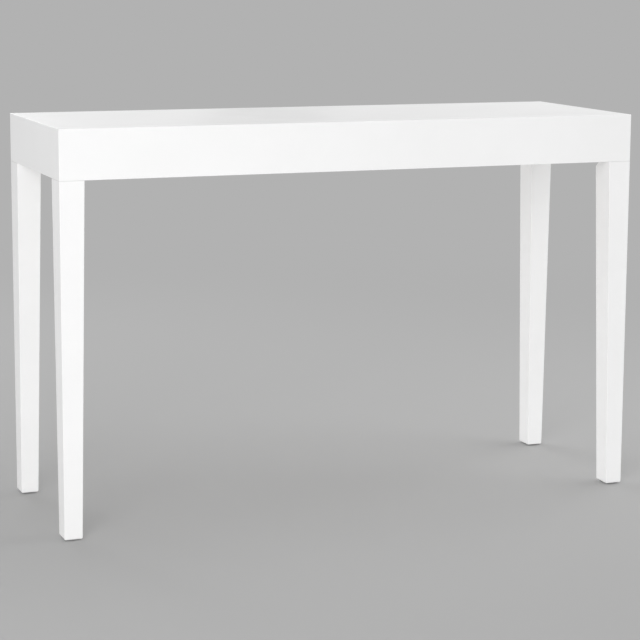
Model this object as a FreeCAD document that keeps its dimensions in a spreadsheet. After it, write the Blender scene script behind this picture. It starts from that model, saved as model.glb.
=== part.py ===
import FreeCAD
import Part
import Sketcher
import math
import os
import re

# Parsons table: a white lacquered box top, mitred from five boards, on four tapered legs.
# The post of each leg goes up into a corner of the box, where two hanger bolts draw it
# against a pressed steel corner bracket. X runs along the length, Y from front to rear
# and Z up, with the origin on the floor under the middle of the table.

doc = FreeCAD.newDocument("parsons_table")
sheet = doc.addObject("Spreadsheet::Sheet", "sizes")

# Driving sizes in millimetres. Names that end in share are shares of another size.
sizes = {
    # Box top
    "top_length": "1200",
    "top_depth": "400",
    "table_height": "780",
    "box_height": "96",
    "board_thickness": "18",
    "edge_radius": "1",
    "seam_ease": "0.4",
    # Cross rails and their dowels
    "rail_spacing": "400",
    "rail_thickness": "18",
    "rail_height": "56",
    "dowel_diameter": "8",
    "dowel_length": "30",
    "dowel_embed": "10",
    "dowel_spacing": "30",
    "dowel_chamfer": "1",
    # Glue blocks
    "block_side": "24",
    "block_length": "90",
    # Legs
    "leg_width": "48",
    "leg_depth": "58",
    "foot_width": "35",
    "foot_depth": "42",
    "foot_ease": "2",
    "post_clearance": "0.3",
    "corner_flat": "18",
    "flat_runout": "16",
    # Corner brackets
    "bracket_gap": "6",
    "bracket_thickness": "2",
    "bracket_height": "58",
    "bracket_flange": "34",
    "bracket_bend": "2",
    "slot_length": "28",
    # Bracket screws
    "screw_diameter": "4",
    "screw_length": "15",
    "screw_point": "4",
    "screw_head_diameter": "8",
    "screw_head_height": "2.6",
    "screw_spacing": "34",
    # Hanger bolts, washers and nuts
    "bolt_diameter": "8",
    "bolt_embed": "22",
    "bolt_point": "6",
    "bolt_tail": "4",
    "bolt_chamfer": "1",
    "bolt_spacing": "30",
    "washer_diameter": "20",
    "washer_thickness": "1.6",
    "nut_flats": "13",
    "nut_height": "6.5",
    # Glides and their nails
    "glide_diameter": "22",
    "glide_thickness": "2.5",
    "glide_edge": "0.8",
    "nail_diameter": "2.2",
    "nail_length": "16",
    "nail_point": "3",
    "nail_head_diameter": "5",
    "nail_head_height": "0.8",
    "nail_recess": "0.5",
    # Fits and cuts
    "fit_clearance": "0.2",
    "hole_clearance": "1",
    "tip_clearance": "1",
    "cut_overrun": "5",
    "head_crown_share": "0.6",
}
for row, (alias, number) in enumerate(sizes.items(), start=1):
    sheet.set("A%d" % row, alias)
    sheet.set("B%d" % row, number)
    sheet.setAlias("B%d" % row, alias)
doc.recompute()

# Levels and places that several pieces share.
SHOULDER = "(table_height - box_height)"
CEILING = "(table_height - board_thickness)"
HOLLOW = "(box_height - board_thickness)"
CORNER_X = "-top_length / 2"
CORNER_Y = "-top_depth / 2"
FLAT_SUM = "(leg_width + leg_depth - corner_flat)"
WEB_SUM = "(leg_width + leg_depth - corner_flat + sqrt(2) * bracket_gap)"
FLANGE_START = "(%s - board_thickness)" % WEB_SUM
SCREW_REACH = "(%s + bracket_flange / 2)" % FLANGE_START
FLANGE_END = "(%s + bracket_flange)" % FLANGE_START

UP = FreeCAD.Vector(0, 0, 1)
ACROSS_X = FreeCAD.Vector(1, 0, 0)
ACROSS_Y = FreeCAD.Vector(0, 1, 0)
DIAGONAL = FreeCAD.Vector(1, 1, 0)


def cells(formula):
    """Formula with each size name turned into a reference to its cell."""
    return re.sub(r"[a-z]+_[a-z_]+", r"sizes.\g<0>", formula)


def value(formula):
    """Number that a formula of size names gives."""
    return float(sheet.evalExpression(cells(formula)))


def place(piece, x, y, z):
    """Tie the position of a piece to three formulas."""
    for axis, formula in zip("xyz", (x, y, z)):
        piece.setExpression("Placement.Base." + axis, cells(formula))


def new_body(name, x="0", y="0", z="0", turn=0):
    """Empty body at a place, turned about the vertical."""
    body = doc.addObject("PartDesign::Body", name)
    body.Placement = FreeCAD.Placement(FreeCAD.Vector(), FreeCAD.Rotation(UP, turn))
    place(body, x, y, z)
    return body


def sketch_on(body, name, role, x="0", y="0", z="0", turn=0):
    """Sketch on one of the body's own planes, shifted, and turned about its second axis."""
    sketch = body.newObject("Sketcher::SketchObject", name)
    plane = [feature for feature in body.Origin.OriginFeatures if feature.Role == role][0]
    sketch.AttachmentSupport = [(plane, "")]
    sketch.MapMode = "FlatFace"
    sketch.AttachmentOffset = FreeCAD.Placement(FreeCAD.Vector(), FreeCAD.Rotation(ACROSS_Y, turn))
    for axis, formula in zip("xyz", (x, y, z)):
        sketch.setExpression("AttachmentOffset.Base." + axis, cells(formula))
    return sketch


def tie(sketch, constraint, formula):
    """Add a sized constraint that follows a formula."""
    number = sketch.addConstraint(constraint)
    sketch.setExpression("Constraints[%d]" % number, cells(formula))


def pin_point(sketch, curve, point, x, y):
    """Hold a point of a curve at a place given by two formulas."""
    for kind, axis, formula in (("DistanceX", -2, x), ("DistanceY", -1, y)):
        if formula == "0":
            sketch.addConstraint(Sketcher.Constraint("PointOnObject", curve, point, axis))
        else:
            tie(sketch, Sketcher.Constraint(kind, curve, point, value(formula)), formula)


def outline(sketch, points):
    """Closed polygon whose corners follow formulas."""
    corners = [FreeCAD.Vector(value(x), value(y), 0) for x, y in points]
    first = sketch.GeometryCount
    count = len(corners)
    for index in range(count):
        sketch.addGeometry(Part.LineSegment(corners[index], corners[(index + 1) % count]), False)
    for index, (x, y) in enumerate(points):
        following = first + (index + 1) % count
        sketch.addConstraint(Sketcher.Constraint("Coincident", first + index, 2, following, 1))
        pin_point(sketch, first + index, 1, x, y)


def rectangle(sketch, left, bottom, right, top):
    """Rectangle between two corners."""
    outline(sketch, [(left, bottom), (right, bottom), (right, top), (left, top)])


def circle(sketch, x, y, diameter):
    """Circle of a given diameter about a place."""
    centre = FreeCAD.Vector(value(x), value(y), 0)
    curve = sketch.addGeometry(Part.Circle(centre, UP, value(diameter) / 2), False)
    pin_point(sketch, curve, 3, x, y)
    tie(sketch, Sketcher.Constraint("Diameter", curve, value(diameter)), diameter)


def slot(sketch, y, length, width):
    """Level slot with round ends, centred on the sketch's upright axis at height y."""
    reach = "(%s - %s) / 2" % (length, width)
    radius = value(width) / 2
    left = FreeCAD.Vector(-value(reach), value(y), 0)
    right = FreeCAD.Vector(value(reach), value(y), 0)
    rise = FreeCAD.Vector(0, radius, 0)
    quarter = math.pi / 2
    left_end = sketch.addGeometry(Part.ArcOfCircle(Part.Circle(left, UP, radius), quarter, 3 * quarter), False)
    lower = sketch.addGeometry(Part.LineSegment(left - rise, right - rise), False)
    right_end = sketch.addGeometry(Part.ArcOfCircle(Part.Circle(right, UP, radius), -quarter, quarter), False)
    upper = sketch.addGeometry(Part.LineSegment(right + rise, left + rise), False)
    chain = [left_end, lower, right_end, upper]
    for index, curve in enumerate(chain):
        following = chain[(index + 1) % len(chain)]
        sketch.addConstraint(Sketcher.Constraint("Tangent", curve, 2, following, 1))
    sketch.addConstraint(Sketcher.Constraint("Equal", left_end, right_end))
    pin_point(sketch, left_end, 3, "-" + reach, y)
    pin_point(sketch, right_end, 3, reach, y)
    tie(sketch, Sketcher.Constraint("Diameter", left_end, value(width)), width)


def pad(body, sketch, length, both=False, reverse=False):
    """Solid raised from a sketch."""
    feature = body.newObject("PartDesign::Pad", sketch.Name + "_pad")
    feature.Profile = sketch
    feature.SideType = "Symmetric" if both else "One side"
    feature.Reversed = reverse
    feature.setExpression("Length", cells(length))
    doc.recompute()
    return feature


def pocket(body, sketch, length, both=False, reverse=False):
    """Cut made from a sketch, which has to take something away."""
    before = body.Shape.Volume
    feature = body.newObject("PartDesign::Pocket", sketch.Name + "_cut")
    feature.Profile = sketch
    feature.SideType = "Symmetric" if both else "One side"
    feature.Reversed = reverse
    feature.setExpression("Length", cells(length))
    doc.recompute()
    if body.Shape.Volume >= before:
        raise ValueError("nothing cut by " + feature.Name)
    return feature


def soften(body, kind, size_name, formula, wanted):
    """Fillet or chamfer on the edges of the body's last feature that pass a test."""
    base = body.Tip
    names = ["Edge%d" % (index + 1) for index, edge in enumerate(base.Shape.Edges) if wanted(edge)]
    feature = body.newObject("PartDesign::" + kind, "%s_%s_%d" % (body.Name, kind.lower(), len(body.Group)))
    feature.Base = (base, names)
    feature.setExpression(size_name, cells(formula))
    doc.recompute()
    return feature


def turned(name, points):
    """Body turned about its own upright axis from a half profile."""
    body = new_body(name)
    sketch = sketch_on(body, name + "_profile", "XZ_Plane")
    outline(sketch, points)
    feature = body.newObject("PartDesign::Revolution", name + "_turned")
    feature.Profile = sketch
    feature.ReferenceAxis = (sketch, ["V_Axis"])
    doc.recompute()
    return body


def copy_of(body, name, rotation, x, y, z):
    """Placed copy of a body that is made once at the origin."""
    link = doc.addObject("App::Link", name)
    link.LinkedObject = body
    link.Placement = FreeCAD.Placement(FreeCAD.Vector(), rotation)
    place(link, x, y, z)
    return link


def mirrored(source, name, normal):
    """Mirror image across the middle of the table."""
    image = doc.addObject("Part::Mirroring", name)
    image.Source = source
    image.Normal = normal
    return image


def group(name, pieces):
    """Several separate solids under one name."""
    compound = doc.addObject("Part::Compound", name)
    compound.Links = pieces
    return compound


def corner_group(name, pieces):
    """Pieces of the front left corner, repeated at all four corners."""
    near = group(name + "_corner", pieces)
    front = group(name + "_front", [near, mirrored(near, name + "_front_right", ACROSS_X)])
    return group(name, [front, mirrored(front, name + "_rear", ACROSS_Y)])


def corner_nodes(piece, name):
    """One node for the front left piece and one for each of its three mirror images."""
    front_right = mirrored(piece, "front_right_" + name, ACROSS_X)
    rear_left = mirrored(piece, "rear_left_" + name, ACROSS_Y)
    rear_right = mirrored(front_right, "rear_right_" + name, ACROSS_Y)
    nodes = {"front_left_" + name: piece}
    for image in (front_right, rear_left, rear_right):
        nodes[image.Name] = image
    return nodes


def box_envelope():
    """Outer form of the box: rounded upper and upright edges, eased lower edges."""
    body = new_body("box_envelope", z=SHOULDER)
    sketch = sketch_on(body, "box_outline", "XY_Plane")
    rectangle(sketch, "-top_length / 2", "-top_depth / 2", "top_length / 2", "top_depth / 2")
    pad(body, sketch, "box_height")
    middle = value("box_height / 2")
    soften(body, "Fillet", "Radius", "edge_radius", lambda edge: edge.BoundBox.ZMax > middle)
    soften(body, "Chamfer", "Size", "seam_ease", lambda edge: edge.BoundBox.ZMax < middle)
    return body


def within_box(name, body, envelope):
    """Board cut to the outer form of the box."""
    board = doc.addObject("Part::Common", name)
    board.Base = body
    board.Tool = envelope
    return board


def top_panel(envelope):
    """Top board, mitred along all four edges."""
    body = new_body("top_board", z=CEILING)
    sketch = sketch_on(body, "top_outline", "XY_Plane")
    rectangle(sketch, "-top_length / 2", "-top_depth / 2", "top_length / 2", "top_depth / 2")
    pad(body, sketch, "board_thickness")
    for name, role, span in (("top_end", "XZ_Plane", "top_length"), ("top_side", "YZ_Plane", "top_depth")):
        mitres = sketch_on(body, name + "_mitres", role)
        for sign in ("", "-"):
            edge = "%s%s / 2" % (sign, span)
            inner = "%s(%s / 2 - board_thickness - cut_overrun)" % (sign, span)
            outline(mitres, [(edge, "board_thickness"), (inner, "-cut_overrun"), (edge, "-cut_overrun")])
        pocket(body, mitres, "top_length + top_depth", both=True)
    return within_box("top_panel", body, envelope)


def apron_board(name, length, turn, x, y):
    """Apron board, mitred to the top and to its neighbours, with bracket screw holes."""
    body = new_body(name + "_board", x=x, y=y, z=SHOULDER, turn=turn)
    sketch = sketch_on(body, name + "_outline", "XZ_Plane")
    rectangle(sketch, "-%s / 2" % length, "0", "%s / 2" % length, "box_height")
    pad(body, sketch, "board_thickness", reverse=True)
    inside = "board_thickness + cut_overrun"
    upper = sketch_on(body, name + "_upper_mitre", "YZ_Plane")
    outline(upper, [("0", "box_height"), (inside, "box_height - (%s)" % inside), (inside, "box_height")])
    pocket(body, upper, length + " + cut_overrun", both=True)
    ends = sketch_on(body, name + "_end_mitres", "XY_Plane")
    for sign in ("", "-"):
        edge = "%s%s / 2" % (sign, length)
        inner = "%s(%s / 2 - board_thickness - cut_overrun)" % (sign, length)
        outline(ends, [(edge, "0"), (inner, inside), (edge, inside)])
    pocket(body, ends, "box_height", reverse=True)
    pilots = sketch_on(body, name + "_pilots", "XZ_Plane", z="-board_thickness")
    for side in ("", "-"):
        for level in ("+", "-"):
            across = "%s(%s / 2 - %s)" % (side, length, SCREW_REACH)
            up = "%s / 2 %s screw_spacing / 2" % (HOLLOW, level)
            circle(pilots, across, up, "screw_diameter + fit_clearance")
    pocket(body, pilots, "screw_length - bracket_thickness + tip_clearance", reverse=True)
    return body


def front_apron(envelope):
    """Long apron board, with blind holes for the rail dowels."""
    body = apron_board("front_apron", "top_length", 0, "0", CORNER_Y)
    sockets = sketch_on(body, "front_apron_sockets", "XZ_Plane", z="-board_thickness")
    for side in ("", "-"):
        for level in ("+", "-"):
            up = "%s - rail_height / 2 %s dowel_spacing / 2" % (HOLLOW, level)
            circle(sockets, side + "rail_spacing / 2", up, "dowel_diameter + fit_clearance")
    pocket(body, sockets, "dowel_embed + tip_clearance", reverse=True)
    return within_box("front_apron", body, envelope)


def left_apron(envelope):
    """Short apron board at the end of the box."""
    body = apron_board("left_apron", "top_depth", -90, CORNER_X, "0")
    return within_box("left_apron", body, envelope)


def cross_rail():
    """Rail on edge under the top, from apron to apron, with dowel holes in its ends."""
    body = new_body("left_rail", x="-rail_spacing / 2", z="%s - rail_height" % CEILING)
    sketch = sketch_on(body, "rail_outline", "XY_Plane")
    half_length = "(top_depth / 2 - board_thickness)"
    rectangle(sketch, "-rail_thickness / 2", "-" + half_length, "rail_thickness / 2", half_length)
    pad(body, sketch, "rail_height")
    for name, offset, reverse in (("front", half_length, False), ("rear", "-" + half_length, True)):
        sockets = sketch_on(body, "rail_sockets_" + name, "XZ_Plane", z=offset)
        for level in ("+", "-"):
            up = "rail_height / 2 %s dowel_spacing / 2" % level
            circle(sockets, "0", up, "dowel_diameter + fit_clearance")
        pocket(body, sockets, "dowel_length - dowel_embed + tip_clearance", reverse=reverse)
    return body


def rail_dowels():
    """Wooden dowels that hold the rail ends to the long aprons."""
    radius = "dowel_diameter / 2"
    ends = "dowel_diameter / 2 - dowel_chamfer"
    dowel = turned("rail_dowel", [
        ("0", "0"),
        (ends, "0"),
        (radius, "dowel_chamfer"),
        (radius, "dowel_length - dowel_chamfer"),
        (ends, "dowel_length"),
        ("0", "dowel_length"),
    ])
    along = FreeCAD.Rotation(UP, ACROSS_Y)
    start = "%s + board_thickness - dowel_embed" % CORNER_Y
    pieces = []
    for name, level in (("upper", "+"), ("lower", "-")):
        height = "%s - rail_height / 2 %s dowel_spacing / 2" % (CEILING, level)
        pieces.append(copy_of(dowel, "rail_dowel_" + name, along, "-rail_spacing / 2", start, height))
    return corner_group("rail_dowels", pieces)


def glue_blocks():
    """Three-cornered blocks glued in the angle between the top and the aprons."""
    block = new_body("glue_block")
    sketch = sketch_on(block, "glue_block_outline", "YZ_Plane")
    outline(sketch, [("0", "0"), ("0", "-block_side"), ("block_side", "0")])
    pad(block, sketch, "block_length", both=True)
    straight = FreeCAD.Rotation()
    inner_y = "%s + board_thickness" % CORNER_Y
    bay = "(rail_spacing / 2 + top_length / 2 - %s) / 2" % FLANGE_END
    front = []
    for name, x in (("left", "-" + bay), ("middle", "0"), ("right", bay)):
        front.append(copy_of(block, "front_block_" + name, straight, x, inner_y, CEILING))
    long_side = group("front_blocks", front)
    quarter_turn = FreeCAD.Rotation(UP, -90)
    inner_x = "%s + board_thickness" % CORNER_X
    end = group("left_end_blocks", [copy_of(block, "end_block", quarter_turn, inner_x, "0", CEILING)])
    pieces = [long_side, mirrored(long_side, "rear_blocks", ACROSS_Y)]
    pieces += [end, mirrored(end, "right_end_blocks", ACROSS_X)]
    return group("glue_blocks", pieces)


def leg():
    """Tapered leg with upright outer faces and a rebated post that enters the box."""
    body = new_body("front_left_leg", x=CORNER_X, y=CORNER_Y, z="glide_thickness")
    shank = "(%s - glide_thickness)" % SHOULDER
    post_top = "(%s + %s - post_clearance)" % (shank, HOLLOW)
    sketch = sketch_on(body, "leg_outline", "XY_Plane")
    rectangle(sketch, "0", "0", "leg_width", "leg_depth")
    pad(body, sketch, shank)
    for name, role, top, foot in (
        ("width", "XZ_Plane", "leg_width", "foot_width"),
        ("depth", "YZ_Plane", "leg_depth", "foot_depth"),
    ):
        taper = sketch_on(body, "leg_%s_taper" % name, role)
        beyond = top + " + cut_overrun"
        outline(taper, [(top, shank), (foot, "0"), (beyond, "0"), (beyond, shank)])
        pocket(body, taper, "2 * (leg_width + leg_depth)", both=True)
    middle = value(shank) / 2
    soften(body, "Chamfer", "Size", "foot_ease", lambda edge: edge.BoundBox.ZMax < middle)
    soften(body, "Fillet", "Radius", "edge_radius", lambda edge: edge.Length > middle)
    post = sketch_on(body, "leg_post", "XY_Plane", z=shank)
    inset = "board_thickness + post_clearance"
    rectangle(post, inset, inset, "leg_width", "leg_depth")
    pad(body, post, "%s - post_clearance" % HOLLOW)
    flat = sketch_on(body, "leg_corner_flat", "XZ_Plane", turn=45)
    face = "%s / sqrt(2)" % FLAT_SUM
    corner = "(leg_width + leg_depth) / sqrt(2)"
    beyond = corner + " + cut_overrun"
    lower = "%s - flat_runout" % shank
    upper = post_top + " + cut_overrun"
    outline(flat, [(face, upper), (face, shank), (corner, lower), (beyond, lower), (beyond, upper)])
    pocket(body, flat, "leg_width + leg_depth", both=True)
    bolts = sketch_on(
        body,
        "leg_bolt_holes",
        "XZ_Plane",
        x="leg_width - corner_flat / 2",
        y="%s + %s / 2" % (shank, HOLLOW),
        z="-(leg_depth - corner_flat / 2)",
        turn=135,
    )
    for height in ("bolt_spacing / 2", "-bolt_spacing / 2"):
        circle(bolts, "0", height, "bolt_diameter + fit_clearance")
    pocket(body, bolts, "bolt_embed + tip_clearance")
    nail = sketch_on(body, "leg_nail_hole", "XY_Plane")
    circle(nail, "foot_width / 2", "foot_depth / 2", "nail_diameter + fit_clearance")
    pocket(body, nail, "nail_recess + nail_length - glide_thickness + tip_clearance", reverse=True)
    return body


def bracket():
    """Pressed steel corner bracket: a web across the corner and a flange on each apron."""
    bottom = "%s + %s / 2 - bracket_height / 2" % (SHOULDER, HOLLOW)
    body = new_body("front_left_bracket", x=CORNER_X, y=CORNER_Y, z=bottom)
    seat = "board_thickness"
    face = "board_thickness + bracket_thickness"
    outer_bend = FLANGE_START
    inner_bend = "%s + sqrt(2) * bracket_thickness - bracket_thickness" % FLANGE_START
    sketch = sketch_on(body, "bracket_outline", "XY_Plane")
    outline(sketch, [
        (seat, outer_bend),
        (outer_bend, seat),
        (FLANGE_END, seat),
        (FLANGE_END, face),
        (inner_bend, face),
        (face, inner_bend),
        (face, FLANGE_END),
        (seat, FLANGE_END),
    ])
    pad(body, sketch, "bracket_height")
    hollow_bend = FreeCAD.Vector(value(inner_bend), value(face), 0)
    round_bend = FreeCAD.Vector(value(outer_bend), value(seat), 0)
    for radius, bend in (("bracket_bend", hollow_bend), ("bracket_bend + bracket_thickness", round_bend)):
        soften(body, "Fillet", "Radius", radius, lambda edge: stands_at(edge, bend))
    slots = sketch_on(
        body,
        "bracket_slots",
        "XZ_Plane",
        x="%s / 2" % WEB_SUM,
        y="bracket_height / 2",
        z="-%s / 2" % WEB_SUM,
        turn=135,
    )
    for height in ("bolt_spacing / 2", "-bolt_spacing / 2"):
        slot(slots, height, "slot_length", "(bolt_diameter + hole_clearance)")
    pocket(body, slots, "bracket_thickness", reverse=True)
    for name, role, offset in (("front", "XZ_Plane", "-board_thickness"), ("left", "YZ_Plane", face)):
        holes = sketch_on(body, "bracket_holes_" + name, role, z=offset)
        for level in ("+", "-"):
            up = "bracket_height / 2 %s screw_spacing / 2" % level
            circle(holes, SCREW_REACH, up, "screw_diameter + hole_clearance / 2")
        pocket(body, holes, "bracket_thickness")
    return body


def stands_at(edge, bend):
    """Whether an upright edge stands at a bend, or at its twin across the corner's diagonal."""
    if edge.BoundBox.ZLength < value("bracket_height / 2"):
        return False
    for x, y in ((bend.x, bend.y), (bend.y, bend.x)):
        offset = FreeCAD.Vector(edge.CenterOfMass.x - x, edge.CenterOfMass.y - y, 0)
        if offset.Length < value("bracket_thickness / 2"):
            return True
    return False


def bracket_screws():
    """Pan-head screws through the bracket flanges into the aprons."""
    radius = "screw_diameter / 2"
    head = "screw_head_diameter / 2"
    crown = "screw_head_diameter / 2 * head_crown_share"
    screw = turned("bracket_screw", [
        ("0", "-screw_length"),
        (radius, "-screw_length + screw_point"),
        (radius, "0"),
        (head, "0"),
        (head, "screw_head_height * (1 - head_crown_share)"),
        (crown, "screw_head_height"),
        ("0", "screw_head_height"),
    ])
    into_front = FreeCAD.Rotation(UP, ACROSS_Y)
    into_end = FreeCAD.Rotation(UP, ACROSS_X)
    face = "board_thickness + bracket_thickness"
    pieces = []
    for name, level in (("upper", "+"), ("lower", "-")):
        height = "%s + %s / 2 %s screw_spacing / 2" % (SHOULDER, HOLLOW, level)
        x_along = "%s + %s" % (CORNER_X, SCREW_REACH)
        y_along = "%s + %s" % (CORNER_Y, SCREW_REACH)
        x_face = "%s + %s" % (CORNER_X, face)
        y_face = "%s + %s" % (CORNER_Y, face)
        pieces.append(copy_of(screw, "front_screw_" + name, into_front, x_along, y_face, height))
        pieces.append(copy_of(screw, "end_screw_" + name, into_end, x_face, y_along, height))
    return corner_group("bracket_screws", pieces)


def hanger_bolt():
    """Bolt with a pointed wood end in the leg and a machine end through the bracket."""
    radius = "bolt_diameter / 2"
    end = "bracket_gap + bracket_thickness + washer_thickness + nut_height + bolt_tail"
    return turned("hanger_bolt", [
        ("0", "-bolt_embed"),
        (radius, "-bolt_embed + bolt_point"),
        (radius, end + " - bolt_chamfer"),
        (radius + " - bolt_chamfer", end),
        ("0", end),
    ])


def bolt_washer():
    """Flat washer against the bracket web."""
    near = "bracket_gap + bracket_thickness"
    far = near + " + washer_thickness"
    bore = "(bolt_diameter + hole_clearance) / 2"
    rim = "washer_diameter / 2"
    return turned("bolt_washer", [(bore, near), (rim, near), (rim, far), (bore, far)])


def hex_nut():
    """Hexagon nut on the machine end of the bolt."""
    body = new_body("hex_nut")
    near = "bracket_gap + bracket_thickness + washer_thickness"
    sketch = sketch_on(body, "hex_nut_outline", "XY_Plane", z=near)
    corner = "nut_flats / sqrt(3)"
    half_corner = "nut_flats / sqrt(3) / 2"
    flat = "nut_flats / 2"
    outline(sketch, [
        (corner, "0"),
        (half_corner, flat),
        ("-" + half_corner, flat),
        ("-" + corner, "0"),
        ("-" + half_corner, "-" + flat),
        (half_corner, "-" + flat),
    ])
    circle(sketch, "0", "0", "bolt_diameter + fit_clearance")
    pad(body, sketch, "nut_height")
    return body


def on_bolts(name, piece):
    """Copies of a piece on both bolts of every corner."""
    x = "%s + leg_width - corner_flat / 2" % CORNER_X
    y = "%s + leg_depth - corner_flat / 2" % CORNER_Y
    outward = FreeCAD.Rotation(UP, DIAGONAL)
    pieces = []
    for place_name, level in (("upper", "+"), ("lower", "-")):
        height = "%s + %s / 2 %s bolt_spacing / 2" % (SHOULDER, HOLLOW, level)
        pieces.append(copy_of(piece, "%s_%s" % (piece.Name, place_name), outward, x, y, height))
    return corner_group(name, pieces)


def glide():
    """Plastic disc under the foot, bored and recessed for its nail."""
    bore = "(nail_diameter + fit_clearance) / 2"
    recess = "(nail_head_diameter + hole_clearance / 2) / 2"
    seat = "nail_recess + nail_head_height"
    rim = "glide_diameter / 2"
    body = turned("front_left_glide", [
        (bore, "glide_thickness"),
        (bore, seat),
        (recess, seat),
        (recess, "0"),
        (rim + " - glide_edge", "0"),
        (rim, "glide_edge"),
        (rim, "glide_thickness"),
    ])
    place(body, "%s + foot_width / 2" % CORNER_X, "%s + foot_depth / 2" % CORNER_Y, "0")
    return body


def glide_nails():
    """Nails that hold the glides to the legs."""
    radius = "nail_diameter / 2"
    head = "nail_head_diameter / 2"
    under = "nail_recess + nail_head_height"
    tip = "nail_recess + nail_length"
    nail = turned("glide_nail", [
        ("0", "nail_recess"),
        (head, "nail_recess"),
        (head, under),
        (radius, under),
        (radius, tip + " - nail_point"),
        ("0", tip),
    ])
    x = "%s + foot_width / 2" % CORNER_X
    y = "%s + foot_depth / 2" % CORNER_Y
    return corner_group("glide_nails", [copy_of(nail, "glide_nail_corner", FreeCAD.Rotation(), x, y, "0")])


# The table put together: the box, what stiffens it, the legs and what holds them.
envelope = box_envelope()
nodes = {"top_panel": top_panel(envelope)}
nodes["front_apron"] = front_apron(envelope)
nodes["rear_apron"] = mirrored(nodes["front_apron"], "rear_apron", ACROSS_Y)
nodes["left_apron"] = left_apron(envelope)
nodes["right_apron"] = mirrored(nodes["left_apron"], "right_apron", ACROSS_X)
nodes["left_rail"] = cross_rail()
nodes["right_rail"] = mirrored(nodes["left_rail"], "right_rail", ACROSS_X)
nodes["rail_dowels"] = rail_dowels()
nodes["glue_blocks"] = glue_blocks()
nodes.update(corner_nodes(leg(), "leg"))
nodes.update(corner_nodes(bracket(), "bracket"))
nodes["bracket_screws"] = bracket_screws()
nodes["hanger_bolts"] = on_bolts("hanger_bolts", hanger_bolt())
nodes["bolt_washers"] = on_bolts("bolt_washers", bolt_washer())
nodes["bolt_nuts"] = on_bolts("bolt_nuts", hex_nut())
nodes.update(corner_nodes(glide(), "glide"))
nodes["glide_nails"] = glide_nails()
doc.recompute()

# Every object has to be sound before anything is written.
for item in doc.Objects:
    if "Invalid" in item.State or "Error" in item.State:
        raise ValueError("failed: " + item.Name)
for label, node in nodes.items():
    node.Label = label
    if node.Shape.isNull() or not node.Shape.isValid():
        raise ValueError("unsound: " + label)

os.makedirs("parts", exist_ok=True)
for label, node in nodes.items():
    node.Shape.exportStep("parts/%s.step" % label)
    print("%-20s solids %2d volume %12.1f" % (label, len(node.Shape.Solids), node.Shape.Volume))
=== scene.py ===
import math

import bpy
from mathutils import Matrix, Vector


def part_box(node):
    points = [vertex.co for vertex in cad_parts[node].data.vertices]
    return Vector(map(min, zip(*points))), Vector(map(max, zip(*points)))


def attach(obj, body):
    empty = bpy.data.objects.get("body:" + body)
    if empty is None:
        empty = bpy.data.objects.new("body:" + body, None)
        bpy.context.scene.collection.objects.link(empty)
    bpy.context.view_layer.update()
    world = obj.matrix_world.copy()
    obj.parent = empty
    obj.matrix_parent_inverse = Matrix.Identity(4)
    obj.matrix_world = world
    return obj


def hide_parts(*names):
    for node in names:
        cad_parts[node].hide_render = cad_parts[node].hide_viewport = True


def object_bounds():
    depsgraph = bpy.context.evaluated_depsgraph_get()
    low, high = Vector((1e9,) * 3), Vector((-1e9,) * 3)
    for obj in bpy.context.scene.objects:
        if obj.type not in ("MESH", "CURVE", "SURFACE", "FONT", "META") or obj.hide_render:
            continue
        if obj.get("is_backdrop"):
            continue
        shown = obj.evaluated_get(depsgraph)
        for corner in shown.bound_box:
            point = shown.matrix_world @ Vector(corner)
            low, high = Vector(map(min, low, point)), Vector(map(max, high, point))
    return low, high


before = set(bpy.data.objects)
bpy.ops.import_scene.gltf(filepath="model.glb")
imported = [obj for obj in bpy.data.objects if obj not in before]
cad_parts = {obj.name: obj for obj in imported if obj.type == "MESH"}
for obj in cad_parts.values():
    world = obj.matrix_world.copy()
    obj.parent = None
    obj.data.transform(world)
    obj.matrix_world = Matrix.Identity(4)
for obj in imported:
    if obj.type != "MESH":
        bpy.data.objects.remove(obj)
cad_low, cad_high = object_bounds()


# The box: four fibreboard aprons, glued at the corners, with one 18 mm board glued on top.
# The outside is filled, sanded and sprayed with white satin lacquer, so that no joint shows.
# The inside only has a thin coat of white primer, with some lacquer mist near the open underside.

HALF_LENGTH, HALF_DEPTH, TABLE_HEIGHT = cad_high
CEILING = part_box("top_panel")[0][2]
BOARD = TABLE_HEIGHT - CEILING
APRON_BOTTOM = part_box("front_apron")[0][2]
SKIN = 0.0005  # an inner face is told from an outer one within this depth
MIST_HEIGHT = 0.05

LACQUER_WHITE = (0.905, 0.905, 0.905)
LACQUER_SHADE = (0.890, 0.890, 0.889)
LACQUER_ROUGHNESS = (0.30, 0.38)
LACQUER_IOR = 1.48
PRIMER_WHITE = (0.86, 0.86, 0.86)
PRIMER_ROUGHNESS = (0.62, 0.80)
FIBREBOARD_TAN = (0.55, 0.43, 0.30)
TAN_SHARE = (0.01, 0.11)  # how much board shows through thick and thin primer
COAT_DEPTH = 0.00003
NO_GRAIN = (1.0, 1.0, 1.0)  # a grain drawn out along no axis

CLOUDS_PER_METRE = 7.0
SATIN_PATCHES_PER_METRE = 16.0
THIN_PATCHES_PER_METRE = 22.0
DUST_NIBS_PER_METRE = 55.0
SANDING_PER_METRE = 240.0
SPRAY_PEEL_PER_METRE = 420.0
FIBRES_PER_METRE = 900.0
MIST_DROPS_PER_METRE = 1400.0


def add(tree, kind, wires=None, **settings):
    """A new node of a tree, with its settings made and its inputs set or joined up."""
    node = tree.nodes.new(kind)
    for key, value in settings.items():
        setattr(node, key, value)
    for key, value in (wires or {}).items():
        socket = node.inputs[key]
        if isinstance(value, bpy.types.NodeSocket):
            tree.links.new(value, socket)
        else:
            socket.default_value = value
    return node


def reckon(tree, operation, first, second=0.0, third=0.0):
    """The result of one Math node."""
    wires = {0: first, 1: second, 2: third}
    return add(tree, "ShaderNodeMath", wires, operation=operation).outputs[0]


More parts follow.
